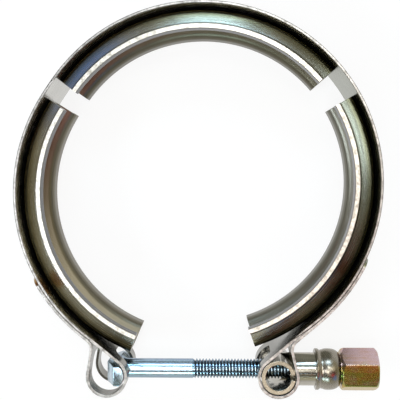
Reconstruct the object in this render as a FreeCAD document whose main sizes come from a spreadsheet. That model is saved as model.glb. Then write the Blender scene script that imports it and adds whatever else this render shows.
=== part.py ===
"""V band clamp: a slotted strap with two end loops, three V retainers and a T-bolt closure.

Frame: the clamp lies on its side on the plane z = 0. The ring's axis is +Z and passes through the
origin. +X runs along the bolt towards the nut, and the bolt crosses below the ring, at minus Y.
All lengths are in millimetres and all angles in degrees.
"""
import FreeCAD
import Part
import Sketcher
import math
import os

Vector = FreeCAD.Vector
Placement = FreeCAD.Placement
Rotation = FreeCAD.Rotation
UP = Vector(0, 0, 1)

# Driving dimensions, kept in the document's spreadsheet under these names
SIZES = {
    # strap
    "strap_width": 22.0,
    "strap_gauge": 0.8,
    "band_radius": 53.9,
    "weld_seat": 0.05,
    # V retainers: their rolled section, and their places round the ring
    "retainer_gauge": 1.5,
    "retainer_base": 8.6,
    "retainer_flare": 20.0,
    "lip_depth": 7.35,
    "base_bend_radius": 1.9,
    "lip_bend_radius": 1.7,
    "top_start": 40.2,
    "top_span": 103.6,
    "right_gap": 10.5,
    "right_overhang": 22.25,
    "left_overhang": 16.8,
    # the short free stretch of strap between the top and left retainers, where that limb is sprung open
    "flex_margin": 0.35,
    "flex_span": 6.4,
    "limb_opening": 4.0,
    # end loops
    "bolt_gap": 4.2,
    "left_inner_leg": 14.213,
    "right_inner_leg": 19.934,
    "left_leg_lean": 9.0,
    "right_leg_lean": 14.0,
    "leg_bend_radius": 3.5,
    "left_tab_angle": 23.3,
    "right_tab_angle": 25.2,
    "tab_corner": 3.0,
    "slot_play": 0.4,
    "slot_run_up": 2.6,
    "slot_leg_play": 1.17,
    "slot_corner": 2.5,
    # trunnion
    "trunnion_play": 0.3,
    "trunnion_gauge": 1.2,
    "trunnion_end_gap": 0.4,
    "trunnion_seam": 1.6,
    "sleeve_play": 0.9,
    "sleeve_seam": 0.3,
    "sleeve_reach": 14.8,
    "bolt_hole_play": 0.4,
    # ferrule
    "ferrule_lap": 2.9,
    "ferrule_gauge": 1.2,
    "ferrule_fit": 0.05,
    "ferrule_shoulder": 1.7,
    "ferrule_lip": 1.3,
    "ferrule_groove_width": 1.2,
    "ferrule_groove_depth": 0.2,
    # nut
    "nut_play": 0.3,
    "nut_flange": 2.9,
    "nut_flange_lip": 0.65,
    "nut_flats": 12.0,
    "nut_length": 11.2,
    "nut_chamfer": 1.0,
    "nut_turn": 5.0,
    "nut_bore_play": 0.05,
    # T-bolt
    "bolt_diameter": 6.0,
    "bolt_tip_inset": 3.6,
    "plain_shank": 20.75,
    "shank_ring": 0.25,
    "tip_chamfer": 0.9,
    "head_play": 0.25,
    "head_end_play": 0.5,
    "head_end_depth": 3.1,
    "head_end_height": 5.8,
    "head_end_bulge": 1.4,
    "head_depth": 5.9,
    "head_height": 7.8,
    "head_bulge": 2.16,
    "head_back_height": 6.2,
    "head_block_width": 8.0,
}

doc = FreeCAD.newDocument("v_band_clamp")
sheet = doc.addObject("Spreadsheet::Sheet", "Sizes")
for row, (name, number) in enumerate(SIZES.items(), start=1):
    sheet.set("A%d" % row, name)
    sheet.set("B%d" % row, str(number))
    sheet.setAlias("B%d" % row, name)
doc.recompute()


def size(name):
    """The value that the spreadsheet holds under this name."""
    return float(sheet.get(name))


# Sizes that follow from the driving ones, as the spreadsheet's own sums
BOLT_LINE = "-(Sizes.band_radius + Sizes.bolt_gap)"
SLEEVE = "(Sizes.bolt_diameter / 2 + Sizes.sleeve_play + Sizes.trunnion_gauge)"
LOOP_INSIDE = "(%s + Sizes.trunnion_play)" % SLEEVE
SLOT_WIDTH = "(2 * (%s + Sizes.slot_play))" % SLEEVE
FERRULE_START = "(Sizes.sleeve_reach - Sizes.ferrule_lap)"
FERRULE_END = "(Sizes.sleeve_reach + Sizes.nut_flange + 2 * Sizes.nut_play + Sizes.ferrule_gauge)"
RIGHT_REACH = ("sqrt((Sizes.band_radius + %s)^2 + Sizes.right_inner_leg^2"
               " - (Sizes.band_radius + Sizes.bolt_gap)^2)" % LOOP_INSIDE)


def worked_out(formula):
    """The value of one of these sums."""
    cell = "D1"
    sheet.set(cell, "=" + formula.replace("Sizes.", ""))
    sheet.recompute()
    return float(sheet.get(cell))


def step(angle, length):
    """A vector of this length, at this angle from +X in the sketch."""
    turn = math.radians(angle)
    return Vector(length * math.cos(turn), length * math.sin(turn), 0)


def across(vector, normal):
    """How far a point lies along a unit normal."""
    return vector.x * normal.x + vector.y * normal.y


# Sketches

def line(start, end):
    """A straight edge, with the sketch's numbers for its first and last point."""
    return Part.LineSegment(start, end), 1, 2


def arc(centre, radius, from_angle, to_angle):
    """A round edge that runs from one angle to the other, either way round."""
    low, high = sorted((from_angle, to_angle))
    curve = Part.ArcOfCircle(Part.Circle(centre, UP, radius), math.radians(low), math.radians(high))
    if to_angle > from_angle:
        return curve, 1, 2
    return curve, 2, 1


def add_chain(sketch, edges):
    """Add edges that follow one another in a ring and tie each end to the next start."""
    first = sketch.GeometryCount
    for geometry, _, _ in edges:
        sketch.addGeometry(geometry, False)
    for index, (_, _, end) in enumerate(edges):
        following = (index + 1) % len(edges)
        start = edges[following][1]
        sketch.addConstraint(Sketcher.Constraint("Coincident", first + index, end,
                                                 first + following, start))


def polygon(points):
    """Straight edges round a list of corners."""
    return [line(Vector(*a, 0), Vector(*b, 0)) for a, b in zip(points, points[1:] + points[:1])]


def side_of_sheet(moves, start, heading, shift):
    """The edges that run beside a folded sheet's middle line, shift to its left.

    Each move is ("run", length, 0) or ("bend", radius of the middle line, turn to the left).
    """
    edges = []
    point = start
    angle = heading
    for kind, length, turn in moves:
        if kind == "run":
            ahead = point + step(angle, length)
            beside = step(angle + 90, shift)
            edges.append(line(point + beside, ahead + beside))
            point = ahead
            continue
        sense = math.copysign(1, turn)
        centre = point + step(angle + 90 * sense, length)
        from_angle = angle - 90 * sense
        edges.append(arc(centre, length - sense * shift, from_angle, from_angle + turn))
        point = centre + step(from_angle + turn, length)
        angle += turn
    return edges


def end_points(edge):
    """First and last point of an edge, in the direction of travel."""
    curve, start, _ = edge
    points = [curve.StartPoint, curve.EndPoint]
    if start == 2:
        points.reverse()
    return points


def folded_sheet(moves, start, heading, gauge):
    """The closed outline of a folded sheet seen edge on."""
    left = side_of_sheet(moves, start, heading, gauge / 2)
    right = side_of_sheet(moves, start, heading, -gauge / 2)
    far_cap = line(end_points(left[-1])[1], end_points(right[-1])[1])
    back = [(curve, end, begin) for curve, begin, end in reversed(right)]
    near_cap = line(end_points(right[0])[0], end_points(left[0])[0])
    return left + [far_cap] + back + [near_cap]


# Bodies and features

def new_body(name):
    body = doc.addObject("PartDesign::Body", name)
    body.Label = name
    return body


def new_sketch(body, name, plane, edges, shift=None):
    """A sketch on one of the body's own planes, moved along the plane's normal by an expression."""
    sketch = body.newObject("Sketcher::SketchObject", name)
    support = [item for item in body.Origin.OriginFeatures if item.Role == plane][0]
    sketch.AttachmentSupport = (support, [""])
    sketch.MapMode = "FlatFace"
    if shift:
        sketch.setExpression("AttachmentOffset.Base.z", shift)
    add_chain(sketch, edges)
    return sketch


def add_circle(sketch, radius):
    """Add a circle round the sketch's origin, with its radius tied to the spreadsheet."""
    circle = sketch.addGeometry(Part.Circle(Vector(0, 0, 0), UP, gauge), False)
    sketch.addConstraint(Sketcher.Constraint("Coincident", circle, 3, -1, 1))
    number = sketch.addConstraint(Sketcher.Constraint("Radius", circle, gauge))
    sketch.setExpression("Constraints[%d]" % number, radius)


def circle_sketch(body, name, plane, radius, shift=None):
    """A round sketch centred on the plane's origin."""
    sketch = new_sketch(body, name, plane, [], shift)
    add_circle(sketch, radius)
    return sketch


def extrude(body, kind, name, sketch, length, backwards=False):
    """A Pad or Pocket of one sketch, its length tied to the spreadsheet."""
    feature = body.newObject("PartDesign::" + kind, name)
    feature.Profile = sketch
    feature.Type = "Length"
    feature.setExpression("Length", length)
    feature.Reversed = backwards
    sketch.Visibility = False
    return feature


def revolve(body, kind, name, sketch, axis, angle="360"):
    """A Revolution or Groove of one sketch about one of its own axes."""
    feature = body.newObject("PartDesign::" + kind, name)
    feature.Profile = sketch
    feature.ReferenceAxis = (sketch, [axis])
    feature.setExpression("Angle", angle)
    sketch.Visibility = False
    return feature


def place(body, across_x, along_y, up_z):
    """Tie the body's position to the spreadsheet."""
    body.setExpression("Placement.Base.x", across_x)
    body.setExpression("Placement.Base.y", along_y)
    body.setExpression("Placement.Base.z", up_z)


# Strap: the ring, and the two limbs that fold round into loops and lap back as welded tabs

gauge = size("strap_gauge")
ring_radius = size("band_radius") - gauge / 2
bolt_line = worked_out(BOLT_LINE)
lap_radius = ring_radius + gauge + size("weld_seat")
loop_inside = worked_out(LOOP_INSIDE)
loop_radius = loop_inside + gauge
loop_middle = loop_inside + gauge / 2
bend_radius = size("leg_bend_radius")
flex_start = size("top_start") + size("top_span") + size("flex_margin")
after_flex = flex_start + size("flex_span") - size("limb_opening")


def left_limb_centre():
    """Where the left limb's arc is centred, once the free stretch is straightened a little."""
    free_radius = flex_radius()
    free_centre = step(flex_start, ring_radius) + step(flex_start + 180, free_radius)
    after = free_centre + step(after_flex, free_radius)
    return after + step(after_flex + 180, ring_radius)


def flex_radius():
    """Radius of the free stretch, which keeps its length while its turn gets smaller."""
    return ring_radius * size("flex_span") / (size("flex_span") - size("limb_opening"))


def limb(loop, lean):
    """The folds of one limb, as on the left side, with its ring arc centred on the origin.

    loop is the loop's centre and lean is how far its outer leg leans in from upright. Returned are
    the angle where the strap leaves its arc, the lengths of the inner leg, the outer leg and the
    straight lap, and the turns of the loop and of the bend at the top of the outer leg.
    """
    reach = loop.Length
    loop_angle = math.degrees(math.atan2(loop.y, loop.x)) % 360
    leave = loop_angle - math.degrees(math.acos((ring_radius + loop_middle) / reach))
    inward = step(leave + 180, 1)
    along = step(leave + 90, 1)
    inner_leg = across(loop, along)
    leg_heading = 90 - lean
    leg_side = step(leg_heading + 90, 1)
    leg_ahead = step(leg_heading, 1)
    lap_line = -lap_radius - bend_radius
    leg_line = across(loop, leg_side) + loop_middle + bend_radius
    corner = inward.x * leg_side.y - inward.y * leg_side.x
    bend_centre = Vector((lap_line * leg_side.y - leg_line * inward.y) / corner,
                         (leg_line * inward.x - lap_line * leg_side.x) / corner, 0)
    outer_leg = across(bend_centre - loop, leg_ahead)
    straight_lap = across(bend_centre, along)
    lap_heading = leave - 90
    bend_turn = lap_heading - leg_heading
    loop_turn = 180 + bend_turn
    return {"leave": leave, "inner_leg": inner_leg, "outer_leg": outer_leg, "lap": straight_lap,
            "bend": bend_turn, "loop": loop_turn, "centre": loop, "inward": inward, "along": along,
            "leg_side": leg_side, "leg_ahead": leg_ahead}


def fold_moves(folds, tab_angle):
    """The moves from a tab's free end to where the limb joins its arc."""
    return [("bend", lap_radius, tab_angle),
            ("run", folds["lap"], 0),
            ("bend", bend_radius, -folds["bend"]),
            ("run", folds["outer_leg"], 0),
            ("bend", loop_middle, folds["loop"]),
            ("run", folds["inner_leg"], 0)]


limb_centre = left_limb_centre()
left_drop = bolt_line - limb_centre.y
left_reach = math.sqrt((ring_radius + loop_middle) ** 2 + size("left_inner_leg") ** 2 - left_drop ** 2)
left = limb(Vector(-left_reach, left_drop, 0), size("left_leg_lean"))
right = limb(Vector(-worked_out(RIGHT_REACH), bolt_line, 0), size("right_leg_lean"))

strap_moves = fold_moves(left, size("left_tab_angle"))
strap_moves.append(("bend", ring_radius, after_flex - left["leave"]))
strap_moves.append(("bend", flex_radius(), size("limb_opening") - size("flex_span")))
strap_moves.append(("bend", ring_radius, 180 - right["leave"] - flex_start))
strap_moves += reversed(fold_moves(right, size("right_tab_angle")))
tab_start = left["leave"] - size("left_tab_angle")


def slot_region(folds, origin, mirror):
    """A region that holds the loop and its legs, up to where the slot ends on each of them."""
    wide = loop_radius + 2 * gauge
    tangent = folds["centre"] + folds["inward"] * loop_middle
    inner_end = tangent - folds["along"] * size("slot_run_up")
    leg_foot = folds["centre"] + folds["leg_side"] * loop_middle
    slot_height = worked_out(SLEEVE) + size("slot_leg_play") - folds["leg_side"].y * loop_middle
    leg_end = leg_foot + folds["leg_ahead"] * (slot_height / folds["leg_ahead"].y)
    below = folds["centre"] + Vector(0, -2 * wide, 0)
    corners = [tangent + folds["inward"] * 2 * gauge,
               inner_end + folds["inward"] * 2 * gauge,
               inner_end - folds["inward"] * gauge,
               leg_end - folds["leg_side"] * gauge,
               leg_end + folds["leg_side"] * 2 * gauge,
               Vector(folds["centre"].x - wide, folds["centre"].y, 0),
               Vector(folds["centre"].x - wide, below.y, 0),
               Vector(folds["centre"].x + wide, below.y, 0),
               Vector(folds["centre"].x + wide, folds["centre"].y, 0)]
    return polygon([(mirror * (point + origin).x, (point + origin).y) for point in corners])


def build_strap():
    body = new_body("strap")
    start = limb_centre + step(tab_start, lap_radius)
    outline = folded_sheet(strap_moves, start, tab_start + 90, gauge)
    section = new_sketch(body, "strap_edge", "XY_Plane", outline)
    extrude(body, "Pad", "strap_blank", section, "Sizes.strap_width")
    for name, folds, origin, mirror in (("left", left, limb_centre, 1), ("right", right, Vector(), -1)):
        region = new_sketch(body, name + "_slot_region", "XY_Plane", slot_region(folds, origin, mirror),
                            "(Sizes.strap_width + %s) / 2" % SLOT_WIDTH)
        extrude(body, "Pocket", name + "_slot", region, SLOT_WIDTH)
    slot_half = worked_out(SLOT_WIDTH) / 2
    round_corners(body, "slot_corners", slot_half, "Sizes.slot_corner")
    round_corners(body, "tab_corners", size("strap_width") / 2, "Sizes.tab_corner")
    return body


def round_corners(body, name, height, radius):
    """Round the strip's cut corners that lie this far above and below its middle."""
    doc.recompute()
    cut = body.Tip
    corners = []
    for index, edge in enumerate(cut.Shape.Edges, start=1):
        off_middle = abs(edge.CenterOfMass.z - size("strap_width") / 2)
        across_gauge = abs(edge.Length - gauge) < gauge / 10
        if across_gauge and abs(off_middle - height) < gauge / 10:
            corners.append("Edge%d" % index)
    fillet = body.newObject("PartDesign::Fillet", name)
    fillet.Base = (cut, corners)
    fillet.setExpression("Radius", radius)


# Retainers: three lengths of one rolled V section, spot-welded inside the strap

def retainer_section():
    """Half the section is folded from the middle of its base, and the other half mirrors it."""
    thick = size("retainer_gauge")
    middle = size("strap_width") / 2
    flare = size("retainer_flare")
    base_bend = size("base_bend_radius")
    lip_bend = size("lip_bend_radius")
    base_line = size("band_radius") - gauge - size("weld_seat") - thick / 2
    drop = size("lip_depth") - thick
    turn = 90 - flare
    half_base = size("retainer_base") / 2 - base_bend * math.tan(math.radians(turn / 2))
    bends = (base_bend + lip_bend) * (1 - math.cos(math.radians(turn)))
    leg = (drop - bends) / math.cos(math.radians(flare))
    out = half_base + (base_bend + lip_bend) * math.sin(math.radians(turn))
    out += leg * math.sin(math.radians(flare))
    lip = middle - out
    upper = [("run", half_base, 0), ("bend", base_bend, turn), ("run", leg, 0),
             ("bend", lip_bend, -turn), ("run", lip, 0)]
    lower = [("run", lip, 0), ("bend", lip_bend, -turn), ("run", leg, 0), ("bend", base_bend, turn),
             ("run", 2 * half_base, 0)]
    moves = lower + upper[1:]
    return folded_sheet(moves, Vector(base_line - drop, 0, 0), 90, thick)


def build_retainer(name, centre, start_angle, end_angle):
    body = new_body(name)
    section = new_sketch(body, name + "_section", "XZ_Plane", retainer_section())
    revolve(body, "Revolution", name + "_roll", section, "V_Axis", "%.6f" % (end_angle - start_angle))
    body.Placement = Placement(centre, Rotation(UP, start_angle))
    return body


# Trunnion: one stamping, rolled into a tube that turns in the right loop, with a sleeve for the bolt

def build_trunnion():
    body = new_body("trunnion")
    length = "(Sizes.strap_width - 2 * Sizes.trunnion_end_gap)"
    tube = circle_sketch(body, "tube_round", "XY_Plane", SLEEVE, "-%s / 2" % length)
    extrude(body, "Pad", "tube", tube, length)
    sleeve = circle_sketch(body, "sleeve_round", "YZ_Plane", SLEEVE)
    extrude(body, "Pad", "sleeve", sleeve, "Sizes.sleeve_reach")
    bore = circle_sketch(body, "tube_bore_round", "XY_Plane", SLEEVE + " - Sizes.trunnion_gauge",
                         length + " / 2")
    extrude(body, "Pocket", "tube_bore", bore, length)
    inside = circle_sketch(body, "sleeve_bore_round", "YZ_Plane", SLEEVE + " - Sizes.trunnion_gauge")
    extrude(body, "Pocket", "sleeve_bore", inside, "Sizes.sleeve_reach", True)
    hole = circle_sketch(body, "bolt_hole_round", "YZ_Plane",
                         "Sizes.bolt_diameter / 2 + Sizes.bolt_hole_play")
    extrude(body, "Pocket", "bolt_hole", hole, LOOP_INSIDE)
    long = size("sleeve_reach")
    half_tube = size("trunnion_seam") / 2
    half_sleeve = size("sleeve_seam") / 2
    sleeve_slit = polygon([(0, -half_sleeve), (long, -half_sleeve), (long, half_sleeve), (0, half_sleeve)])
    slit = new_sketch(body, "sleeve_slit", "XY_Plane", sleeve_slit, "Sizes.strap_width / 2")
    extrude(body, "Pocket", "sleeve_seam_cut", slit, "Sizes.strap_width")
    tube_slit = polygon([(0, -half_tube), (loop_inside, -half_tube), (loop_inside, half_tube),
                         (0, half_tube)])
    for name, shift, backwards in (("front", SLEEVE, True), ("rear", "-" + SLEEVE, False)):
        slit = new_sketch(body, name + "_slit", "XY_Plane", tube_slit, shift)
        extrude(body, "Pocket", name + "_seam_cut", slit, "Sizes.strap_width", backwards)
    place(body, RIGHT_REACH, BOLT_LINE, "Sizes.strap_width / 2")
    return body


# Ferrule: a drawn cup, pressed on the sleeve's end, that holds the nut by its flange

ferrule_inside = worked_out(SLEEVE) + size("ferrule_fit")
flange_radius = ferrule_inside - size("nut_play")
neck_radius = flange_radius - size("nut_flange_lip")


def build_ferrule():
    body = new_body("ferrule")
    inside = ferrule_inside
    wall = size("ferrule_gauge")
    outside = inside + wall
    first = worked_out(FERRULE_START)
    last = worked_out(FERRULE_END)
    hole = neck_radius + size("nut_play")
    shoulder = min(size("ferrule_shoulder"), (inside + outside) / 2 - hole)
    groove_start = first + size("ferrule_lip")
    groove_end = groove_start + size("ferrule_groove_width")
    groove_half = (groove_end - groove_start) / 2
    groove_depth = size("ferrule_groove_depth")
    groove_radius = (groove_half ** 2 + groove_depth ** 2) / (2 * groove_depth)
    groove_bulge = math.degrees(math.asin(groove_half / groove_radius))
    groove_centre = Vector(groove_start + groove_half, outside - groove_depth + groove_radius, 0)
    edges = [line(Vector(first, inside, 0), Vector(first, outside, 0)),
             line(Vector(first, outside, 0), Vector(groove_start, outside, 0)),
             arc(groove_centre, groove_radius, 270 - groove_bulge, 270 + groove_bulge),
             line(Vector(groove_end, outside, 0), Vector(last - shoulder, outside, 0)),
             arc(Vector(last - shoulder, outside - shoulder, 0), shoulder, 90, 0),
             line(Vector(last, outside - shoulder, 0), Vector(last, hole, 0)),
             line(Vector(last, hole, 0), Vector(last - wall, hole, 0)),
             line(Vector(last - wall, hole, 0), Vector(last - wall, inside, 0)),
             line(Vector(last - wall, inside, 0), Vector(first, inside, 0))]
    section = new_sketch(body, "ferrule_section", "XY_Plane", edges)
    revolve(body, "Revolution", "ferrule_cup", section, "H_Axis")
    place(body, RIGHT_REACH, BOLT_LINE, "Sizes.strap_width / 2")
    return body


# Nut: a long hexagon with a neck and a flange that stays inside the ferrule

def build_nut():
    body = new_body("nut")
    play = size("nut_play")
    flange_start = size("sleeve_reach") + play
    flange_end = flange_start + size("nut_flange")
    hexagon = worked_out(FERRULE_END) + play
    bore = size("bolt_diameter") / 2 + size("nut_bore_play")
    waist = polygon([(flange_start, bore), (flange_start, flange_radius), (flange_end, flange_radius),
                     (flange_end, neck_radius), (hexagon + play, neck_radius), (hexagon + play, bore)])
    section = new_sketch(body, "nut_waist_section", "XY_Plane", waist)
    revolve(body, "Revolution", "nut_waist", section, "H_Axis")
    corner = size("nut_flats") / math.sqrt(3)
    ring = polygon([step(60 * side, corner)[:2] for side in range(6)])
    outline = new_sketch(body, "nut_hexagon", "YZ_Plane", ring,
                         FERRULE_END + " + Sizes.nut_play")
    add_circle(outline, "Sizes.bolt_diameter / 2 + Sizes.nut_bore_play")
    extrude(body, "Pad", "nut_block", outline, "Sizes.nut_length")
    chamfer = size("nut_chamfer")
    nut_end = hexagon + size("nut_length")
    for name, face, inwards in (("near", hexagon, 1), ("far", nut_end, -1)):
        beyond = face - inwards * chamfer
        edge = polygon([(beyond, corner - chamfer * 2), (beyond, corner + chamfer * 2),
                        (face + inwards * chamfer * 2, corner + chamfer * 2),
                        (face + inwards * chamfer, corner)])
        cut = new_sketch(body, name + "_chamfer_section", "XY_Plane", edge)
        revolve(body, "Groove", name + "_chamfer", cut, "H_Axis")
    body.Placement.Rotation = Rotation(Vector(1, 0, 0), size("nut_turn"))
    place(body, RIGHT_REACH, BOLT_LINE, "Sizes.strap_width / 2")
    return body


# T-bolt: a forged cross bar, thick in the middle, on a round shank

def head_section(depth, height, back_height, bulge):
    """A D shape: the nose bears on the loop and the back is flat, and x = 0 is the nose's tip."""
    half = height / 2
    nose = (half ** 2 + bulge ** 2) / (2 * bulge)
    spread = math.degrees(math.asin(half / nose))
    return [arc(Vector(-nose, 0, 0), nose, -spread, spread),
            line(Vector(-bulge, half, 0), Vector(-depth, back_height / 2, 0)),
            line(Vector(-depth, back_height / 2, 0), Vector(-depth, -back_height / 2, 0)),
            line(Vector(-depth, -back_height / 2, 0), Vector(-bulge, -half, 0))]


def build_t_bolt():
    body = new_body("t_bolt")
    end_profile = head_section(size("head_end_depth"), size("head_end_height"),
                               size("head_end_height"), size("head_end_bulge"))
    block_profile = head_section(size("head_depth"), size("head_height"), size("head_back_height"),
                                 size("head_bulge"))
    tip = "(Sizes.strap_width / 2 - Sizes.head_end_play)"
    block = "(Sizes.head_block_width / 2)"
    stations = (("front_end", end_profile, tip), ("front_block", block_profile, block),
                ("rear_block", block_profile, "-" + block), ("rear_end", end_profile, "-" + tip))
    sections = []
    for name, profile, shift in stations:
        sketch = new_sketch(body, name, "XY_Plane", profile, shift)
        sections.append(sketch)
    head = body.newObject("PartDesign::AdditiveLoft", "t_head")
    head.Profile = sections[0]
    head.Sections = sections[1:]
    head.Ruled = True
    nose_x = limb_centre.x - left_reach + loop_inside - size("head_play")
    radius = size("bolt_diameter") / 2
    chamfer = size("tip_chamfer")
    ring = size("shank_ring")
    inside_head = -radius
    nut_end = worked_out(RIGHT_REACH + " + " + FERRULE_END) + size("nut_play") + size("nut_length")
    last = nut_end - size("bolt_tip_inset") - nose_x
    shank_end = size("plain_shank")
    shank = polygon([(inside_head, 0), (inside_head, radius), (shank_end - ring, radius),
                     (shank_end, radius - ring), (shank_end + ring, radius), (last - chamfer, radius),
                     (last, radius - chamfer), (last, 0)])
    section = new_sketch(body, "shank_section", "XY_Plane", shank)
    revolve(body, "Revolution", "shank", section, "H_Axis")
    place(body, "%.6f" % nose_x, BOLT_LINE, "Sizes.strap_width / 2")
    return body


top_start = size("top_start")
top_end = top_start + size("top_span")
left_start = after_flex + size("flex_margin")
left_end = left["leave"] + size("left_overhang")
right_start = 180 - right["leave"] - size("right_overhang")
right_end = top_start - size("right_gap")
bodies = [build_strap(),
          build_retainer("retainer_top", Vector(), top_start, top_end),
          build_retainer("retainer_left", limb_centre, left_start, left_end),
          build_retainer("retainer_right", Vector(), right_start, right_end),
          build_trunnion(),
          build_ferrule(),
          build_nut(),
          build_t_bolt()]
doc.recompute()

for item in doc.Objects:
    if "Invalid" in item.State or "Error" in item.State:
        raise RuntimeError("%s failed: %s" % (item.Name, item.State))
for body in bodies:
    if body.Shape.isNull() or not body.Shape.isValid() or len(body.Shape.Solids) != 1:
        raise RuntimeError("%s has no valid single solid" % body.Label)

os.makedirs("parts", exist_ok=True)
for body in bodies:
    body.Shape.exportStep("parts/%s.step" % body.Label)
    print("%-16s volume %9.1f mm3, box %s" % (body.Label, body.Shape.Volume, body.Shape.BoundBox))
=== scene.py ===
"""Looks of a V band clamp: a slotted stainless strap with V retainers, a trunnion, a captive nut and a T-bolt.

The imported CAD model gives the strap, the three retainers and the trunnion. The ferrule, the T-bolt and the nut
are modelled here, the last two with their real threads. Everything is in metres, in the CAD frame, and the clamp
lies on z = 0.
"""
import math

import bpy
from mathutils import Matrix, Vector


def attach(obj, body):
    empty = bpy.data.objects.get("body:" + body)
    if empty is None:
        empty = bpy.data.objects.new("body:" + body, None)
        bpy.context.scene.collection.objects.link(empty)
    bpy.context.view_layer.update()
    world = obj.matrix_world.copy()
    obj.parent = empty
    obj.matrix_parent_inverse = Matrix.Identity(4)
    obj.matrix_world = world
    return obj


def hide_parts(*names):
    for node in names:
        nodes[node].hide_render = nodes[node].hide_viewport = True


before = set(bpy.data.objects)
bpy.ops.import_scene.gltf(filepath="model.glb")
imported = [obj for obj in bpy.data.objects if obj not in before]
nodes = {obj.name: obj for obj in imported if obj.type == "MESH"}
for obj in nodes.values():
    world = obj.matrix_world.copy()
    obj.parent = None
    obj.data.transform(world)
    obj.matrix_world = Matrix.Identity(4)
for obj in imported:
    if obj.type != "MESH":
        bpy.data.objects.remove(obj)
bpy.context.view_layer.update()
MM = 0.001


# The camera looks down on the lying clamp from 237 mm above it, a little to the right of the middle. Its place,
# tilt and lens were fitted to the ring, the loops and the bolt.

camera_data = bpy.data.cameras.new("camera")
camera_data.lens = 65.37
camera_data.sensor_width = 36
camera_data.clip_start = 0.01
camera = bpy.data.objects.new("camera", camera_data)
bpy.context.scene.collection.objects.link(camera)
camera.location = (0.0077766, 0.0024844, 0.2369006)
camera.rotation_mode = "ZYX"
camera.rotation_euler = (-0.0344, 0.0365, -0.0023)
bpy.context.scene.camera = camera
bpy.context.scene.view_settings.view_transform = "Standard"


# The studio table: a matt white laminate top that runs on past the picture, so that the clamp lies on white with
# a faint shadow. Its white is lifted where the camera, a mirror or glass sees it.

def colour(code, alpha=1.0):
    """A colour written as sRGB hex, in the linear values that the shaders take."""
    parts = [int(code[i:i + 2], 16) / 255 for i in (1, 3, 5)]
    return tuple(c / 12.92 if c <= 0.04045 else ((c + 0.055) / 1.055) ** 2.4 for c in parts) + (alpha,)


def add(tree, kind, links=None, stops=None, **settings):
    """Adds a node with its settings. links gives each socket a value or another node's output."""
    made = tree.nodes.new(kind)
    for name, value in settings.items():
        setattr(made, name, value)
    for socket, value in (links or {}).items():
        if isinstance(value, bpy.types.NodeSocket):
            tree.links.new(value, made.inputs[socket])
        else:
            made.inputs[socket].default_value = value
    if stops:
        points = made.color_ramp.elements
        while len(points) < len(stops):
            points.new(0.5)
        for point, (place, code) in zip(points, stops):
            point.position = place
            point.color = colour(code)
    return made


def new_material(name):
    """An empty node material, and its node tree with the output node in it."""
    material = bpy.data.materials.new(name)
    material.use_nodes = True
    tree = material.node_tree
    tree.nodes.clear()
    return material, tree, add(tree, "ShaderNodeOutputMaterial")


def select_only(thing):
    """Leaves this object alone selected and active."""
    bpy.ops.object.select_all(action="DESELECT")
    thing.select_set(True)
    bpy.context.view_layer.objects.active = thing


TABLE_RADIUS = 1.5
TABLE_DROP = 0.1 * MM
TABLE_WHITE = "#fbfbfa"
TABLE_LIFT = 0.88

bpy.ops.object.select_all(action="DESELECT")
bpy.ops.mesh.primitive_circle_add(vertices=96, radius=TABLE_RADIUS, fill_type="NGON", location=(0, 0, -TABLE_DROP))
table = bpy.context.object
table.name = "table_top"
bpy.ops.object.transform_apply(location=True, rotation=True, scale=True)
laminate, tree, out = new_material("matt_white_laminate")
seen = add(tree, "ShaderNodeLightPath")
seen_or_mirrored = add(tree, "ShaderNodeMath", {0: seen.outputs["Is Camera Ray"],
                                                1: seen.outputs["Is Glossy Ray"]}, operation="MAXIMUM")
seen_any = add(tree, "ShaderNodeMath", {0: seen_or_mirrored.outputs[0], 1: seen.outputs["Is Transmission Ray"]},
               operation="MAXIMUM")
lift = add(tree, "ShaderNodeMath", {0: seen_any.outputs[0], 1: TABLE_LIFT}, operation="MULTIPLY")
matt = add(tree, "ShaderNodeBsdfDiffuse", {"Color": colour(TABLE_WHITE), "Roughness": 1.0})
glow = add(tree, "ShaderNodeEmission", {"Color": colour("#ffffff"), "Strength": 1.0})
both = add(tree, "ShaderNodeMixShader", {0: lift.outputs[0], 1: matt.outputs[0], 2: glow.outputs[0]})
tree.links.new(both.outputs[0], out.inputs["Surface"])
table.data.materials.append(laminate)


# The room round the table: white at the table's level and dim overhead, which is what bright steel shows as its
# dark tones. Soft patches overhead give the steel its reds, blues and creams, and eight softboxes light it.

world = bpy.data.worlds.new("studio")
bpy.context.scene.world = world
world.use_nodes = True
tree = world.node_tree
tree.nodes.clear()
out = add(tree, "ShaderNodeOutputWorld")
where = add(tree, "ShaderNodeTexCoord")
split = add(tree, "ShaderNodeSeparateXYZ", {0: where.outputs["Generated"]})
height = add(tree, "ShaderNodeValToRGB", {0: split.outputs["Z"]},
             stops=[(0.0, "#ffffff"), (0.14, "#e9ebee"), (0.34, "#d6d4c6"), (0.56, "#d3cbab"), (0.70, "#b0a88c"),
                    (0.82, "#7a7566"), (0.92, "#55524a"), (1.0, "#4a4944")])
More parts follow.
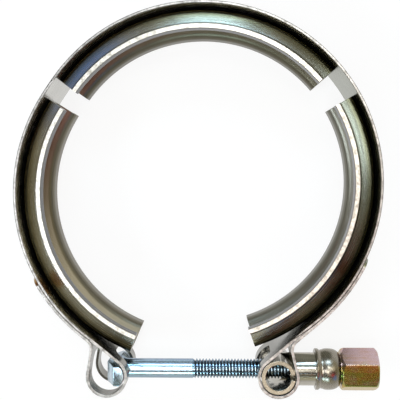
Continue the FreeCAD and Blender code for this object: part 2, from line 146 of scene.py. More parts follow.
# soft patches overhead: a direction, the cosine of the angle where it fades out, a colour and its brightness
overhead_patches = (
    ((0.34, -0.32, 0.88), 0.982, "#d81a10", 3.2), ((0.46, -0.12, 0.88), 0.962, "#6c1c20", 1.0),
    ((0.37, 0.28, 0.88), 0.950, "#efe6cc", 2.0),
    ((-0.50, 0.05, 0.86), 0.950, "#a3a4a8", 1.0), ((0.02, -0.46, 0.88), 0.950, "#77715f", 1.0),
    ((0.52, -0.58, 0.62), 0.960, "#6f9be6", 1.6), ((-0.68, 0.38, 0.62), 0.960, "#8c3a36", 1.0),
    ((-0.76, -0.18, 0.62), 0.965, "#dcebf2", 1.3), ((0.78, 0.02, 0.62), 0.960, "#b8ad80", 1.0),
    ((0.02, 0.50, 0.86), 0.940, "#9fc0cc", 1.0))
tones = height.outputs[0]
for direction, fade, code, gain in overhead_patches:
    facing = add(tree, "ShaderNodeVectorMath",
                 {0: where.outputs["Generated"], 1: tuple(Vector(direction).normalized())},
                 operation="DOT_PRODUCT")
    patch = add(tree, "ShaderNodeMapRange", {"Value": facing.outputs["Value"], "From Min": fade, "From Max": 1.0},
                interpolation_type="SMOOTHSTEP")
    lit = tuple(part * gain for part in colour(code)[:3]) + (1.0,)
    mixed = add(tree, "ShaderNodeMix", {0: patch.outputs[0], 6: tones, 7: lit}, data_type="RGBA")
    tones = mixed.outputs[2]
sky = add(tree, "ShaderNodeBackground", {"Color": tones, "Strength": 1.0})
tree.links.new(sky.outputs[0], out.inputs["Surface"])


def softbox(name, place, aim, width, length, power, code):
    """A rectangular area lamp, pointed at a place on the clamp."""
    lamp = bpy.data.lights.new(name, "AREA")
    lamp.shape = "RECTANGLE"
    lamp.size = width
    lamp.size_y = length
    lamp.energy = power
    lamp.color = colour(code)[:3]
    body = bpy.data.objects.new(name, lamp)
    bpy.context.scene.collection.objects.link(body)
    body.location = place
    body.rotation_euler = (Vector(aim) - Vector(place)).to_track_quat("-Z", "Y").to_euler()


softbox("overhead_bank", (-0.02, -0.06, 0.60), (0, -0.03, 0.01), 0.17, 0.17, 0.55, "#fffdf8")
softbox("overhead_left", (-0.185, -0.035, 0.60), (0, 0, 0.01), 0.07, 0.20, 0.30, "#f6f8ff")
softbox("overhead_rear", (0.045, 0.175, 0.60), (0, 0, 0.01), 0.16, 0.08, 0.42, "#ffffff")
softbox("overhead_right", (0.155, 0.07, 0.60), (0, 0, 0.01), 0.06, 0.08, 0.12, "#fff8ee")
softbox("overhead_front", (0.07, -0.24, 0.60), (0.03, -0.05, 0.01), 0.12, 0.08, 0.05, "#fff2e2")
softbox("rear_window", (0.01, 0.42, 0.38), (0, 0, 0.015), 0.26, 0.12, 1.0, "#c0e0ff")
softbox("front_window", (-0.05, -0.44, 0.37), (0, 0, 0.015), 0.16, 0.10, 0.5, "#c8f0ff")
softbox("side_window", (-0.42, -0.16, 0.38), (0, 0, 0.015), 0.22, 0.12, 1.1, "#e6f2ff")


# The strap: one strip of bright stainless, sheared to 22 mm and bent into the ring and its two end loops. Each
# end is folded back on the ring's outside and spot welded there, and the retainers are spot welded inside it.

# places and sizes of the sheet pieces are in millimetres
WIDTH = 22
RING_RADIUS = 53.5
RIM_OF_STRAP = (53.1, 53.9)
RIM_OF_LIPS = (45.7, 47.2)
LEFT_LIMB = (-2.123, -3.072)
LEFT_LIMB_TOP = 31
LEFT_LIMB_RIGHT = -30
LOOPS_BELOW = -47
FREE_STRETCH = 35
UNTONED = "#ffffff"
# painted shade for the thin line along both borders of a sheared edge
BORDER_SHADE = "#4a4741"


def rolled_sheet(name, base, dark, edge_codes, shade_and_reflection_tones=(), centre=(0, 0), hollow_shade=UNTONED,
                 groove_shade=UNTONED, low_shade=UNTONED, right_shade=UNTONED, hollow_rough=0.22,
                 tints=(), welds=(), rim=RIM_OF_LIPS, seamed=False):
    """Bright rolled stainless: grey, with faint lines in the rolling direction and a rougher, paler sheared edge.

    Painted shade darkens it. shade_and_reflection_tones is a ramp by radius over its front half: a dark painted
    reflection on the front lip's inside, pale to olive painted reflection tones on the flank and painted shade
    going black in the corner against the strap. hollow_shade is painted shade in its rear half, groove_shade
    painted shade beside its front lip, low_shade painted shade below the ring, on the loops, and right_shade
    painted shade at the ring's right. tints are (place, reach) of heat tint beside a weld, and welds are places of
    electrode marks. rim holds the radii between which the sheared edge lies, whose borders get a thin line of
    painted shade. On the seamed sheet, the strap, these borders follow the sprung left limb too.
    """
    material, tree, out = new_material(name)
    where = add(tree, "ShaderNodeTexCoord")
    # the pattern's seam is turned to the free stretch of strap at the upper left
    turned = add(tree, "ShaderNodeMapping", {"Vector": where.outputs["Object"],
                                             "Rotation": (0, 0, math.radians(FREE_STRETCH))})
    flat = add(tree, "ShaderNodeSeparateXYZ", {0: turned.outputs[0]})
    angle = add(tree, "ShaderNodeMath", {0: flat.outputs["Y"], 1: flat.outputs["X"]}, operation="ARCTAN2")
    along = add(tree, "ShaderNodeMath", {0: angle.outputs[0], 1: RING_RADIUS * MM}, operation="MULTIPLY")
    centred = add(tree, "ShaderNodeVectorMath",
                  {0: where.outputs["Object"], 1: (centre[0] * MM, centre[1] * MM, 0)}, operation="SUBTRACT")
    level = add(tree, "ShaderNodeVectorMath", {0: centred.outputs[0], 1: (1, 1, 0)}, operation="MULTIPLY")
    radius = add(tree, "ShaderNodeVectorMath", {0: level.outputs[0]}, operation="LENGTH")
    rolled = add(tree, "ShaderNodeCombineXYZ", {0: along.outputs[0], 1: flat.outputs["Z"],
                                                2: radius.outputs["Value"]})
    # rolling lines: 14 mm long and 0.35 mm apart, drawn coarser than the real 0.05 mm so that they show
    lines_at = add(tree, "ShaderNodeVectorMath",
                   {0: rolled.outputs[0], 1: (1 / (14 * MM), 1 / (0.35 * MM), 1 / (0.35 * MM))},
                   operation="MULTIPLY")
    lines = add(tree, "ShaderNodeTexNoise", {"Vector": lines_at.outputs[0], "Scale": 1.0, "Detail": 3.0})
    # clouding: soft patches 9 mm across, from handling and from the roll's uneven polish
    clouds = add(tree, "ShaderNodeTexNoise", {"Vector": where.outputs["Object"], "Scale": 1 / (9 * MM),
                                              "Detail": 2.0})
    tone = add(tree, "ShaderNodeMix", {0: clouds.outputs["Fac"], 6: colour(base), 7: colour(dark)},
               data_type="RGBA")
    plain = add(tree, "ShaderNodeSeparateXYZ", {0: where.outputs["Object"]})
    hollow = add(tree, "ShaderNodeMapRange", {"Value": plain.outputs["Z"], "From Min": 13 * MM,
                                              "From Max": 9 * MM})
    fore = add(tree, "ShaderNodeMath", {0: 1.0, 1: hollow.outputs[0]}, operation="SUBTRACT")
    shade = tone.outputs[2]
    # painted shade and painted reflection by radius, over the front half only
    if shade_and_reflection_tones:
        across = add(tree, "ShaderNodeMapRange", {"Value": radius.outputs["Value"], "From Min": 45 * MM,
                                                  "From Max": 55 * MM})
        painted_by_radius = add(tree, "ShaderNodeValToRGB", {0: across.outputs[0]}, stops=shade_and_reflection_tones)
        sheet = add(tree, "ShaderNodeMix", {0: fore.outputs[0], 6: shade, 7: painted_by_radius.outputs[0]}, data_type="RGBA",
                    blend_type="MULTIPLY")
        shade = sheet.outputs[2]
    # masks for painted shade: below the ring, on the loops, and towards the ring's right
    low = add(tree, "ShaderNodeMapRange", {"Value": plain.outputs["Y"], "From Min": -44 * MM,
                                           "From Max": -51 * MM})
    rightward = add(tree, "ShaderNodeMapRange", {"Value": plain.outputs["X"], "From Min": 15 * MM,
                                                 "From Max": 42 * MM})
    # painted shade in the groove at the foot of the front lip
    foot = add(tree, "ShaderNodeMapRange", {"Value": radius.outputs["Value"], "From Min": 48.6 * MM,
                                            "From Max": 48.2 * MM})
    groove = add(tree, "ShaderNodeMath", {0: foot.outputs[0], 1: fore.outputs[0]}, operation="MULTIPLY")
    # each given colour is multiplied in over its mask as painted shade
    for share, code in ((low, low_shade), (rightward, right_shade), (hollow, hollow_shade), (groove, groove_shade)):
        if code != UNTONED:
            toned = add(tree, "ShaderNodeMix", {0: share.outputs[0], 6: colour(UNTONED), 7: colour(code)},
                        data_type="RGBA")
            worked = add(tree, "ShaderNodeMix", {0: 1.0, 6: shade, 7: toned.outputs[2]}, data_type="RGBA",
                         blend_type="MULTIPLY")
            shade = worked.outputs[2]
    for (x, y, z), reach in tints:
        near = add(tree, "ShaderNodeVectorMath", {0: where.outputs["Object"], 1: (x * MM, y * MM, z * MM)},
                   operation="DISTANCE")
        wander = add(tree, "ShaderNodeMath", {0: clouds.outputs["Fac"], 1: 2.5 * MM, 2: near.outputs["Value"]},
                     operation="MULTIPLY_ADD")
        heat = add(tree, "ShaderNodeMath", {0: wander.outputs[0], 1: reach * MM}, operation="DIVIDE")
        # temper colours from the hot middle outwards: grey, violet, brown, straw, bare steel
        temper = add(tree, "ShaderNodeValToRGB", {0: heat.outputs[0]},
                     stops=[(0.0, "#b3aaa0"), (0.3, "#a890ae"), (0.5, "#bd8450"), (0.72, "#d9ad6c"),
                            (1.0, UNTONED)])
        mixed = add(tree, "ShaderNodeMix", {0: 0.85, 6: shade, 7: temper.outputs[0]}, data_type="RGBA",
                    blend_type="MULTIPLY")
        shade = mixed.outputs[2]
    # sheared edges: the faces at both ends of the sheet's width, torn and slightly rough
    half = WIDTH / 2
    depth = add(tree, "ShaderNodeMath", {0: flat.outputs["Z"], 1: half * MM}, operation="SUBTRACT")
    off_middle = add(tree, "ShaderNodeMath", {0: depth.outputs[0]}, operation="ABSOLUTE")
    edge = add(tree, "ShaderNodeMapRange", {"Value": off_middle.outputs[0], "From Min": (half - 0.07) * MM,
                                            "From Max": (half - 0.02) * MM})
    # the shear leaves brighter and duller spots some 1.5 mm long, with finer sparkle in them
    stretches = add(tree, "ShaderNodeTexNoise", {"Vector": where.outputs["Object"], "Scale": 1 / (1.5 * MM),
                                                 "Detail": 4.0, "Roughness": 0.7})
    worn = add(tree, "ShaderNodeMapRange", {"Value": stretches.outputs["Fac"], "From Min": 0.32, "From Max": 0.58})
    shorn = add(tree, "ShaderNodeMix", {0: worn.outputs[0], 6: colour(edge_codes[0]), 7: colour(edge_codes[1])},
                data_type="RGBA")
    # the edge's two borders, about the ring's middle or, on the strap's left limb, about the limb's
    middle = centred.outputs[0]
    if seamed:
        left = add(tree, "ShaderNodeMath", {0: plain.outputs["X"], 1: LEFT_LIMB_RIGHT * MM}, operation="LESS_THAN")
        lower = add(tree, "ShaderNodeMath", {0: plain.outputs["Y"], 1: LEFT_LIMB_TOP * MM}, operation="LESS_THAN")
        limb = add(tree, "ShaderNodeMath", {0: left.outputs[0], 1: lower.outputs[0]}, operation="MULTIPLY")
        shift = add(tree, "ShaderNodeVectorMath", {0: (LEFT_LIMB[0] * MM, LEFT_LIMB[1] * MM, 0),
                                                   "Scale": limb.outputs[0]}, operation="SCALE")
        from_limb = add(tree, "ShaderNodeVectorMath", {0: where.outputs["Object"], 1: shift.outputs[0]},
                        operation="SUBTRACT")
        middle = from_limb.outputs[0]
    flattened = add(tree, "ShaderNodeVectorMath", {0: middle, 1: (1, 1, 0)}, operation="MULTIPLY")
    reach_out = add(tree, "ShaderNodeVectorMath", {0: flattened.outputs[0]}, operation="LENGTH")
    off_rim = add(tree, "ShaderNodeMath", {0: reach_out.outputs["Value"], 1: (rim[0] + rim[1]) / 2 * MM},
                  operation="SUBTRACT")
    beside = add(tree, "ShaderNodeMath", {0: off_rim.outputs[0]}, operation="ABSOLUTE")
    to_border = add(tree, "ShaderNodeMath", {0: beside.outputs[0], 1: (rim[1] - rim[0]) / 2 * MM},
                    operation="SUBTRACT")
    near_border = add(tree, "ShaderNodeMath", {0: to_border.outputs[0]}, operation="ABSOLUTE")
    border = add(tree, "ShaderNodeMapRange", {"Value": near_border.outputs[0], "From Min": 0.24 * MM,
                                              "From Max": 0.06 * MM})
    # the thin line of painted shade along the sheared edge's borders, kept off the loops below the ring
    above = add(tree, "ShaderNodeMath", {0: plain.outputs["Y"], 1: LOOPS_BELOW * MM}, operation="GREATER_THAN")
    border_shade = add(tree, "ShaderNodeMath", {0: border.outputs[0], 1: above.outputs[0]}, operation="MULTIPLY")
    bordered = add(tree, "ShaderNodeMix", {0: border_shade.outputs[0], 6: shorn.outputs[2], 7: colour(BORDER_SHADE)},
                   data_type="RGBA")
    edged = add(tree, "ShaderNodeMix", {0: edge.outputs[0], 6: shade, 7: bordered.outputs[2]}, data_type="RGBA")
    gloss = add(tree, "ShaderNodeMapRange", {"Value": lines.outputs["Fac"], "From Min": 0.3, "From Max": 0.7,
                                             "To Min": 0.14, "To Max": 0.30})
    dulled = add(tree, "ShaderNodeMix", {0: hollow.outputs[0], 2: gloss.outputs[0], 3: hollow_rough},
                 data_type="FLOAT")
    rough = add(tree, "ShaderNodeMix", {0: edge.outputs[0], 2: dulled.outputs[0], 3: 0.36}, data_type="FLOAT")
    # grit of the sheared face: 0.25 mm grains
    grit = add(tree, "ShaderNodeTexNoise", {"Vector": where.outputs["Object"], "Scale": 1 / (0.25 * MM),
                                            "Detail": 1.0})
    torn = add(tree, "ShaderNodeMath", {0: grit.outputs["Fac"], 1: edge.outputs[0]}, operation="MULTIPLY")
    relief = add(tree, "ShaderNodeMath", {0: torn.outputs[0], 1: 6.0, 2: lines.outputs["Fac"]},
                 operation="MULTIPLY_ADD")
    rounded = add(tree, "ShaderNodeBevel", {"Radius": 0.18 * MM}, samples=4)
    bump = add(tree, "ShaderNodeBump", {"Strength": 0.25, "Distance": 0.01 * MM, "Height": relief.outputs[0],
                                        "Normal": rounded.outputs[0]})
    # each electrode leaves a dish 4 mm across and 0.15 mm deep
    for x, y, z in welds:
        near = add(tree, "ShaderNodeVectorMath", {0: where.outputs["Object"], 1: (x * MM, y * MM, z * MM)},
                   operation="DISTANCE")
        dish = add(tree, "ShaderNodeMapRange", {"Value": near.outputs["Value"], "From Min": 1.6 * MM,
                                                "From Max": 2.1 * MM}, interpolation_type="SMOOTHSTEP")
        bump = add(tree, "ShaderNodeBump", {"Strength": 0.9, "Distance": 0.15 * MM, "Height": dish.outputs[0],
                                            "Normal": bump.outputs[0]})
    steel = add(tree, "ShaderNodeBsdfPrincipled", {"Base Color": edged.outputs[2], "Metallic": 1.0,
                                                   "Roughness": rough.outputs[0], "Normal": bump.outputs[0]})
    tree.links.new(steel.outputs[0], out.inputs["Surface"])
    return material


def on_ring(radius, angle, z):
    """A place on the ring, in millimetres."""
    turn = math.radians(angle)
    return radius * math.cos(turn), radius * math.sin(turn), z


def finish_node(name, material):
    """Gives a CAD node its material, with the mesh left as it is."""
    slots = nodes[name].material_slots
    if not slots:
        nodes[name].data.materials.append(material)
    for place in slots:
        place.material = material


# one weld at a time along the retainers, on the round part and then on the left limb, and two in each tab
strap_welds = [on_ring(53.9, angle, WIDTH / 2) for angle in (48, 76, 108, 136, 22, 0, -14)]
strap_welds += [on_ring(56.2, angle, WIDTH / 2) for angle in (155, 175, 195)]
strap_welds += [on_ring(radius, angle, z) for radius, angle in ((57.0, 216), (54.75, -35)) for z in (6, 16)]
strap_tints = [(on_ring(58.2, 213, 20), 5.5), (on_ring(55.6, -31, 20), 5.5)]
# the strap's painted shade: darker on the loops below the ring and towards the ring's right
finish_node("strap", rolled_sheet("bright_rolled_stainless_strip", "#d0cfca", "#b9b8b2", ("#7f7d79", "#cfcdca"),
                                  low_shade="#a19f99", right_shade="#b6baae", tints=strap_tints, welds=strap_welds,
                                  rim=RIM_OF_STRAP, seamed=True))


# The retainers: three lengths of stainless channel, roll formed to a V section with lips and bent to the ring.
# Their sheared ends and lip edges are left rough, and the spot welds hold them inside the strap. Their colour
# holds painted shade, black in the corner where their front flanks meet the strap and darker inside the V, and
# painted reflection tones on the flanks.

# painted shade and reflection across each retainer's front half, by radius: a dark painted reflection on the front
# lip's inside, the lip's edge left as it is, pale to olive painted reflection on the flank and painted shade going
# black in the corner against the strap
retainer_shade_and_reflection = [(0.0, "#3a3632"), (0.12, "#45413b"), (0.22, "#ffffff"), (0.44, "#ffffff"), (0.58, "#ddd5bd"),
                  (0.70, "#9c9474"), (0.75, "#3c3a30"), (0.79, "#141310")]
# each retainer's last colour is the painted shade of its rear half, inside the V; the colour after it is the
# painted shade in the groove by the front lip
for name, centre, hollow_shade in (("retainer_top", (0, 0), "#8d8878"), ("retainer_left", LEFT_LIMB, "#a19b8b"),
                                  ("retainer_right", (0, 0), "#a3a197")):
    finish_node(name, rolled_sheet("roll_formed_stainless_" + name, "#c7c6c2", "#aaa9a4", ("#aeaa9f", "#f3f0e8"),
                                   retainer_shade_and_reflection, centre, hollow_shade, "#7d7a70", hollow_rough=0.36))


# The trunnion: a stainless stamping rolled into a tube and a sleeve, tumbled bright before it is fitted. The
# ferrule is a drawn stainless cup with a satin surface, pressed on the sleeve round the nut's flange.

def bright_stamping(name, base, dark, smooth, coarse, grain):
    """Tumbled or drawn stainless: grey with soft clouding, and a fine random grain in place of rolling lines."""
    material, tree, out = new_material(name)
    where = add(tree, "ShaderNodeTexCoord")
    clouds = add(tree, "ShaderNodeTexNoise", {"Vector": where.outputs["Object"], "Scale": 1 / (4 * MM),
                                              "Detail": 3.0})
    tone = add(tree, "ShaderNodeMix", {0: clouds.outputs["Fac"], 6: colour(base), 7: colour(dark)},
               data_type="RGBA")
    fine = add(tree, "ShaderNodeTexNoise", {"Vector": where.outputs["Object"], "Scale": 1 / (grain * MM),
                                            "Detail": 2.0})
    rough = add(tree, "ShaderNodeMapRange", {"Value": fine.outputs["Fac"], "From Min": 0.3, "From Max": 0.7,
                                             "To Min": smooth, "To Max": coarse})
    rounded = add(tree, "ShaderNodeBevel", {"Radius": 0.2 * MM}, samples=4)
    bump = add(tree, "ShaderNodeBump", {"Strength": 0.2, "Distance": 0.01 * MM, "Height": fine.outputs["Fac"],
                                        "Normal": rounded.outputs[0]})
    steel = add(tree, "ShaderNodeBsdfPrincipled", {"Base Color": tone.outputs[2], "Metallic": 1.0,
                                                   "Roughness": rough.outputs[0], "Normal": bump.outputs[0]})
    tree.links.new(steel.outputs[0], out.inputs["Surface"])
    return material


finish_node("trunnion", bright_stamping("tumbled_stainless_stamping", "#bdb9ae", "#a19c90", 0.12, 0.22, 0.4))

BOLT_Y = -58.1 * MM
MIDDLE = WIDTH / 2 * MM
HAIR = 0.001 * MM


def start_profile(name, x, radius):
    """An object in edit mode with one point, at this place on the bolt's line and this far above the line."""
    bpy.ops.object.select_all(action="DESELECT")
    bpy.ops.mesh.primitive_plane_add(size=MM, location=(x, BOLT_Y, MIDDLE))
    part = bpy.context.object
    part.name = name
    bpy.ops.object.mode_set(mode="EDIT")
    bpy.ops.mesh.merge(type="CENTER")
    bpy.ops.transform.translate(value=(0, 0, radius))
    return part


def turned_part(name, outline, segments=72):
    """A closed round part on the bolt's line, spun from an outline of (x, radius) in millimetres."""
    part = start_profile(name, outline[0][0] * MM, outline[0][1] * MM)
    for (x0, r0), (x1, r1) in zip(outline, outline[1:]):
        bpy.ops.mesh.extrude_region_move(TRANSFORM_OT_translate={"value": ((x1 - x0) * MM, 0, (r1 - r0) * MM)})
    bpy.ops.mesh.select_all(action="SELECT")
    bpy.ops.mesh.spin(steps=segments, angle=math.tau, center=(0, BOLT_Y, MIDDLE), axis=(1, 0, 0),
                      use_auto_merge=True)
    bpy.ops.mesh.select_all(action="SELECT")
    bpy.ops.mesh.remove_doubles(threshold=HAIR)
    bpy.ops.mesh.normals_make_consistent(inside=False)
    bpy.ops.object.mode_set(mode="OBJECT")
    bpy.ops.object.transform_apply(location=True, rotation=True, scale=True)
    return part


# the mouth's rolled bead, a groove, the round belly and the lip that holds the nut, then back along the inside
ferrule = turned_part("drawn_ferrule", [
    (35.10, 5.15), (35.10, 6.20), (35.25, 6.35), (35.95, 6.35), (36.15, 6.20), (36.45, 5.95), (36.80, 5.90),
    (37.30, 6.02), (38.00, 6.25), (38.80, 6.34), (39.80, 6.32), (40.70, 6.18), (41.50, 5.90), (42.10, 5.50),
    (42.50, 5.05), (42.70, 4.62), (42.62, 4.50), (41.50, 4.50), (41.50, 5.15), (35.10, 5.15)])
bpy.ops.object.shade_smooth_by_angle(angle=math.radians(40))
ferrule.data.materials.append(bright_stamping("satin_drawn_stainless", "#9e988c", "#837c6f", 0.20, 0.32, 0.25))
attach(ferrule, "trunnion")
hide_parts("ferrule")


# The T-bolt: steel, cold headed into a D-shaped cross bar that lies in the left loop, with an M6 thread of 1 mm
# pitch rolled on its shank. It is zinc plated with a clear blue passivate.

NOSE = -23.25 * MM
PITCH = 1.0 * MM
CREST_RADIUS = 3.0 * MM
ROOT_RADIUS = 2.39 * MM
THREAD_START = -2.5 * MM
BOLT_TIP = 50.6 * MM


def thread(name, first, last, growth):
    """A solid length of M6 thread between two places on the bolt's line, larger in radius by growth."""
    crest, root = CREST_RADIUS + growth, ROOT_RADIUS + growth
    # the crest is a little wider than an eighth of the pitch, so that its line of light shows at this size
    flat, flank = 0.22 * PITCH, 0.30 * PITCH
    steps = [(flat, 0), (flank, root - crest), (PITCH - flat - 2 * flank, 0), (flank, crest - root)]
    turns_before = math.ceil((THREAD_START - first) / PITCH) + 2
    start = THREAD_START - turns_before * PITCH
    part = start_profile(name, start, crest)
    for along, out in steps:
        bpy.ops.mesh.extrude_region_move(TRANSFORM_OT_translate={"value": (along, 0, out)})
    bpy.ops.object.mode_set(mode="OBJECT")
    bpy.ops.object.modifier_add(type="SCREW")
    helix = part.modifiers[-1]
    helix.axis = "X"
    helix.screw_offset = PITCH
    helix.iterations = math.ceil((last - start) / PITCH) + 2
    helix.steps = helix.render_steps = 40
    helix.use_merge_vertices = True
    helix.merge_threshold = HAIR
    bpy.ops.object.modifier_apply(modifier=helix.name)
    bpy.ops.object.transform_apply(location=True, rotation=True, scale=True)
    bpy.ops.object.mode_set(mode="EDIT")
    bpy.ops.mesh.select_all(action="SELECT")
    bpy.ops.mesh.remove_doubles(threshold=HAIR)
    for place, side in ((first, -1), (last, 1)):
        bpy.ops.mesh.select_all(action="SELECT")
        bpy.ops.mesh.bisect(plane_co=(place, BOLT_Y, MIDDLE), plane_no=(side, 0, 0), use_fill=True,
                            clear_outer=True, threshold=HAIR)
    bpy.ops.mesh.select_all(action="SELECT")
    bpy.ops.mesh.normals_make_consistent(inside=False)
    bpy.ops.object.mode_set(mode="OBJECT")
    return part


def combine(part, other, how):
    """Joins, cuts or intersects two closed meshes, and deletes the second."""
    select_only(part)
    bpy.ops.object.modifier_add(type="BOOLEAN")
    step = part.modifiers[-1]
    step.operation = how
    step.solver = "EXACT"
    step.object = other
    bpy.ops.object.modifier_apply(modifier=step.name)
    bpy.data.objects.remove(other, do_unlink=True)
    return part


def select_faces(part, wanted):
    """Selects, in face mode, the faces whose middle and normal pass the test."""
    bpy.ops.object.mode_set(mode="EDIT")
    bpy.context.tool_settings.mesh_select_mode = (False, False, True)
    bpy.ops.mesh.select_all(action="DESELECT")
    bpy.ops.object.mode_set(mode="OBJECT")
    for face in part.data.polygons:
        face.select = bool(wanted(face.center, face.normal))
    bpy.ops.object.mode_set(mode="EDIT")


def select_points(part, wanted):
    """Selects, in vertex mode, the points that pass the test."""
    bpy.ops.object.mode_set(mode="EDIT")
    bpy.context.tool_settings.mesh_select_mode = (True, False, False)
    bpy.ops.mesh.select_all(action="DESELECT")
    bpy.ops.object.mode_set(mode="OBJECT")
    for point in part.data.vertices:
        point.select = bool(wanted(point.co))
    bpy.ops.object.mode_set(mode="EDIT")


def round_edges(part, width, sharpness):
    """Rounds the edges that turn by more than this many degrees."""
    bpy.ops.object.modifier_add(type="BEVEL")
    rounding = part.modifiers[-1]
    rounding.width = width
    rounding.segments = 3
    rounding.limit_method = "ANGLE"
    rounding.angle_limit = math.radians(sharpness)
    bpy.ops.object.modifier_apply(modifier=rounding.name)


# the cross bar: a thick D in the middle, whose round nose faces the shank, tapering to smaller D faces
NOSE_RADIUS = 4.6 * MM
HALF_BLOCK = 4.0 * MM
HALF_BAR = 10.5 * MM
BAR_DEPTH = 5.9 * MM
BAR_ROUNDING = 0.35 * MM
# each flat side passes through a place this far behind the nose and this far off the bolt's line
SIDE_DEPTH = 2.16 * MM
SIDE_REACH = 3.9 * MM
SIDE_NORMAL = (-0.209, 0.978)
# the end faces' nose is this share of the middle's in depth and width, and their back edge moves forward
NOSE_ZONE = 2.5 * MM
NOSE_SHARE = (0.648, 0.744)
BACK_ZONE = 5.0 * MM
BACK_SHARE = 2.9 / 3.1
BACK_SHIFT = 2.8 * MM
bpy.ops.object.select_all(action="DESELECT")
bpy.ops.mesh.primitive_cylinder_add(vertices=72, radius=NOSE_RADIUS, depth=2 * HALF_BLOCK,
                                    location=(NOSE - NOSE_RADIUS, BOLT_Y, MIDDLE))
cross_bar = bpy.context.object
bpy.ops.object.transform_apply(location=True, rotation=True, scale=True)
bpy.ops.object.mode_set(mode="EDIT")
for side in (-1, 1):
    bpy.ops.mesh.select_all(action="SELECT")
    bpy.ops.mesh.bisect(plane_co=(NOSE - SIDE_DEPTH, BOLT_Y + side * SIDE_REACH, MIDDLE),
                        plane_no=(SIDE_NORMAL[0], side * SIDE_NORMAL[1], 0), use_fill=True, clear_outer=True,
                        threshold=HAIR)
bpy.ops.mesh.select_all(action="SELECT")
bpy.ops.mesh.bisect(plane_co=(NOSE - BAR_DEPTH, BOLT_Y, MIDDLE), plane_no=(-1, 0, 0), use_fill=True,
                    clear_outer=True, threshold=HAIR)
bpy.ops.object.mode_set(mode="OBJECT")
for side in (-1, 1):
    select_faces(cross_bar, lambda middle, normal: normal.z * side > 0.9)
    bpy.ops.mesh.extrude_region_move(TRANSFORM_OT_translate={"value": (0, 0, side * (HALF_BAR - HALF_BLOCK))})
    bpy.ops.object.mode_set(mode="OBJECT")
    face_z = MIDDLE + side * HALF_BAR
    select_points(cross_bar, lambda p: abs(p.z - face_z) < HAIR and p.x > NOSE - NOSE_ZONE)
    bpy.ops.transform.resize(value=(*NOSE_SHARE, 1), center_override=(NOSE, BOLT_Y, face_z))
    bpy.ops.object.mode_set(mode="OBJECT")
    select_points(cross_bar, lambda p: abs(p.z - face_z) < HAIR and p.x < NOSE - BACK_ZONE)
    bpy.ops.transform.resize(value=(1, BACK_SHARE, 1), center_override=(NOSE, BOLT_Y, face_z))
    bpy.ops.transform.translate(value=(BACK_SHIFT, 0, 0))
    bpy.ops.object.mode_set(mode="OBJECT")
select_only(cross_bar)
round_edges(cross_bar, BAR_ROUNDING, 25)

# the shank: plain as far as the thread, with a small root fillet at the cross bar and a shallow neck at its end
plain = turned_part("plain_shank", [(-26.4, 0), (-26.4, 3.5), (-24.3, 3.35), (-23.7, 3.12), (-22.9, 3.0),
                                    (-2.85, 3.0), (-2.6, 2.75), (-2.45, 2.75), (-2.45, 0)])
cut_thread = thread("rolled_thread", THREAD_START, BOLT_TIP, 0.0)
blank = turned_part("pointed_blank", [(-4.0, 0), (-4.0, 3.2), (49.4, 3.2), (50.6, 2.1), (51.2, 1.5), (51.2, 0)])
combine(cut_thread, blank, "INTERSECT")
t_bolt = combine(combine(cross_bar, plain, "UNION"), cut_thread, "UNION")
t_bolt.name = "threaded_t_bolt"
select_only(t_bolt)
bpy.ops.object.shade_smooth_by_angle(angle=math.radians(28))


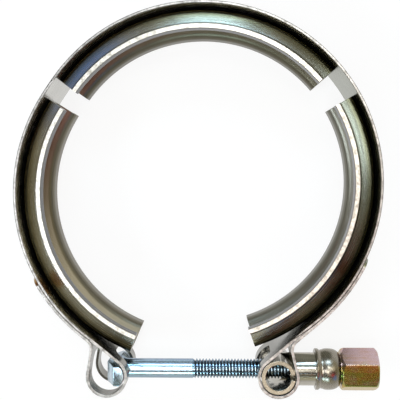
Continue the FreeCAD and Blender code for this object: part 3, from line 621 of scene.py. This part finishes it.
def plated_zinc(name, stops, rough_low, rough_high, patch, root_shade=None, film_and_shade_sides=None):
    """Bright zinc plate under a passivate film, whose interference colours drift over patches of this size.

    root_shade is painted shade in a thread's roots. sides are colours round the bolt's line: on the nut the film's
    colour on each flat, where each flat has dried to its own, and on the bolt painted shade and sheen, dark on the
    side away from the ring and pale along the top.
    """
    material, tree, out = new_material(name)
    where = add(tree, "ShaderNodeTexCoord")
    film = add(tree, "ShaderNodeTexNoise", {"Vector": where.outputs["Object"], "Scale": 1 / (patch * MM),
                                            "Detail": 2.0, "Distortion": 0.6})
    hue = add(tree, "ShaderNodeValToRGB", {0: film.outputs["Fac"]}, stops=stops)
    shade = hue.outputs[0]
    centred = add(tree, "ShaderNodeVectorMath", {0: where.outputs["Object"], 1: (0, BOLT_Y, MIDDLE)},
                  operation="SUBTRACT")
    round_axis = add(tree, "ShaderNodeSeparateXYZ", {0: centred.outputs[0]})
    if film_and_shade_sides:
        angle = add(tree, "ShaderNodeMath", {0: round_axis.outputs["Z"], 1: round_axis.outputs["Y"]},
                    operation="ARCTAN2")
        turn = add(tree, "ShaderNodeMapRange", {"Value": angle.outputs[0], "From Min": -math.pi,
                                                "From Max": math.pi})
        # colours by the turn round the bolt's line: the film's colours on the nut's flats, painted shade and sheen
        # on the bolt
        side = add(tree, "ShaderNodeValToRGB", {0: turn.outputs[0]}, stops=film_and_shade_sides)
        # streaks left along each flat as the film drains: 0.8 mm wide and 8 mm long
        stretched = add(tree, "ShaderNodeVectorMath", {0: where.outputs["Object"],
                                                       1: (1 / (8 * MM), 1 / (0.8 * MM), 1 / (0.8 * MM))},
                        operation="MULTIPLY")
        streaks = add(tree, "ShaderNodeTexNoise", {"Vector": stretched.outputs[0], "Scale": 1.0, "Detail": 2.0})
        share = add(tree, "ShaderNodeMapRange", {"Value": streaks.outputs["Fac"], "From Min": 0.35,
                                                 "From Max": 0.7, "To Min": 0.1, "To Max": 0.55})
        blended = add(tree, "ShaderNodeMix", {0: share.outputs[0], 6: side.outputs[0], 7: shade}, data_type="RGBA")
        shade = blended.outputs[2]
    if root_shade:
        # painted shade in the thread's roots, within 2.9 mm of the bolt's line
        turned_down = add(tree, "ShaderNodeVectorMath", {0: centred.outputs[0], 1: (0, 1, 1)},
                          operation="MULTIPLY")
        radius = add(tree, "ShaderNodeVectorMath", {0: turned_down.outputs[0]}, operation="LENGTH")
        rooted = add(tree, "ShaderNodeMapRange", {"Value": radius.outputs["Value"], "From Min": 2.92 * MM,
                                                  "From Max": 2.5 * MM})
        threaded = add(tree, "ShaderNodeMath", {0: round_axis.outputs["X"], 1: THREAD_START},
                       operation="GREATER_THAN")
        oiled = add(tree, "ShaderNodeMath", {0: rooted.outputs[0], 1: threaded.outputs[0]}, operation="MULTIPLY")
        roots = add(tree, "ShaderNodeMix", {0: oiled.outputs[0], 6: shade, 7: colour(root_shade)}, data_type="RGBA")
        shade = roots.outputs[2]
    # crystal grain of the plate: 0.3 mm, drawn coarser than the real thing so that it shows
    grain = add(tree, "ShaderNodeTexNoise", {"Vector": where.outputs["Object"], "Scale": 1 / (0.3 * MM),
                                             "Detail": 2.0})
    rough = add(tree, "ShaderNodeMapRange", {"Value": grain.outputs["Fac"], "From Min": 0.3, "From Max": 0.7,
                                             "To Min": rough_low, "To Max": rough_high})
    bump = add(tree, "ShaderNodeBump", {"Strength": 0.25, "Distance": 0.01 * MM, "Height": grain.outputs["Fac"]})
    zinc = add(tree, "ShaderNodeBsdfPrincipled", {"Base Color": shade, "Metallic": 1.0,
                                                  "Roughness": rough.outputs[0], "Normal": bump.outputs[0]})
    tree.links.new(zinc.outputs[0], out.inputs["Surface"])
    return material


BOLT_FILM = [(0.3, "#8ca5b3"), (0.5, "#a8c0cf"), (0.7, "#a0a8c4")]
# painted shade and sheen round the bolt: dark on the side away from the ring, pale blue along the top
BOLT_SHADE_AND_SHEEN = [(0.0, "#6d8086"), (0.25, "#93aab8"), (0.5, "#8698ac"), (0.66, "#a8c4d6"), (0.80, "#b4c8d4"),
              (0.89, "#768a92"), (1.0, "#6d8086")]
# the bolt's thread roots get painted shade
t_bolt.data.materials.append(plated_zinc("blue_passivated_zinc", BOLT_FILM, 0.16, 0.30, 3.0, root_shade="#4c5b66",
                                         film_and_shade_sides=BOLT_SHADE_AND_SHEEN))
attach(t_bolt, "t_bolt")
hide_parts("t_bolt")


# The nut: a long hexagon turned from bar with a neck and a flange that the ferrule holds, chamfered at both
# ends of the hexagon and tapped through. It is zinc plated with a yellow iridescent chromate.

NUT_FILM = [(0.25, "#cdb3b4"), (0.42, "#b89b86"), (0.58, "#b98a4c"), (0.75, "#a9a058")]
# the hexagon's corners lie at 5 degrees and each 60 after it: these stops are the flats' colours in that order
NUT_SIDES = [(0.0, "#a98f45"), (0.17, "#a98f45"), (0.18, "#b89aa0"), (0.34, "#b89aa0"), (0.355, "#9aa05c"),
             (0.50, "#b58a4c"), (0.52, "#c4a8b0"), (0.675, "#cbb4ba"), (0.69, "#9c863c"), (0.76, "#758f38"),
             (0.84, "#6f8d36"), (0.86, "#b3a25a"), (1.0, "#a98f45")]
HEX_START = 43.0
HEX_END = 54.2
HEX_FLATS = 12
HEX_CORNER = HEX_FLATS / math.sqrt(3)
HEX_TURN = 5
HEX_ROUNDING = 0.3 * MM
TAP_PLAY = 0.06 * MM
bpy.ops.object.select_all(action="DESELECT")
bpy.ops.mesh.primitive_cylinder_add(vertices=6, radius=HEX_CORNER * MM, depth=(HEX_END - HEX_START) * MM,
                                    rotation=(0, math.radians(90), 0),
                                    location=((HEX_START + HEX_END) / 2 * MM, BOLT_Y, MIDDLE))
nut = bpy.context.object
nut.name = "tapped_flange_nut"
bpy.ops.object.transform_apply(location=False, rotation=True, scale=True)
nut.rotation_euler = (math.radians(HEX_TURN), 0, 0)
bpy.ops.object.transform_apply(location=True, rotation=True, scale=True)
round_edges(nut, HEX_ROUNDING, 40)
double_cone = turned_part("chamfer_form", [(42.0, 0), (42.0, 4.93), (44.1, 7.03), (53.1, 7.03), (55.2, 4.93),
                                           (55.2, 0)])
combine(nut, double_cone, "INTERSECT")
waist = turned_part("neck_and_flange", [(38.3, 0), (38.3, 4.6), (38.55, 4.85), (40.95, 4.85), (41.2, 4.6),
                                        (41.2, 4.2), (43.3, 4.2), (43.3, 0)])
combine(nut, waist, "UNION")
# the tap runs out past both ends of the nut
combine(nut, thread("tap", 37.5 * MM, 55.5 * MM, TAP_PLAY), "DIFFERENCE")
countersink = turned_part("countersink", [(53.5, 0), (53.5, 2.6), (54.3, 3.4), (55.0, 4.1), (55.0, 0)])
combine(nut, countersink, "DIFFERENCE")
select_only(nut)
bpy.ops.object.mode_set(mode="EDIT")
bpy.ops.mesh.select_all(action="SELECT")
bpy.ops.mesh.remove_doubles(threshold=HAIR)
bpy.ops.object.mode_set(mode="OBJECT")
bpy.ops.object.shade_smooth_by_angle(angle=math.radians(28))
nut.data.materials.append(plated_zinc("yellow_chromated_zinc", NUT_FILM, 0.20, 0.34, 3.5, film_and_shade_sides=NUT_SIDES))
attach(nut, "nut")
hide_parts("nut")
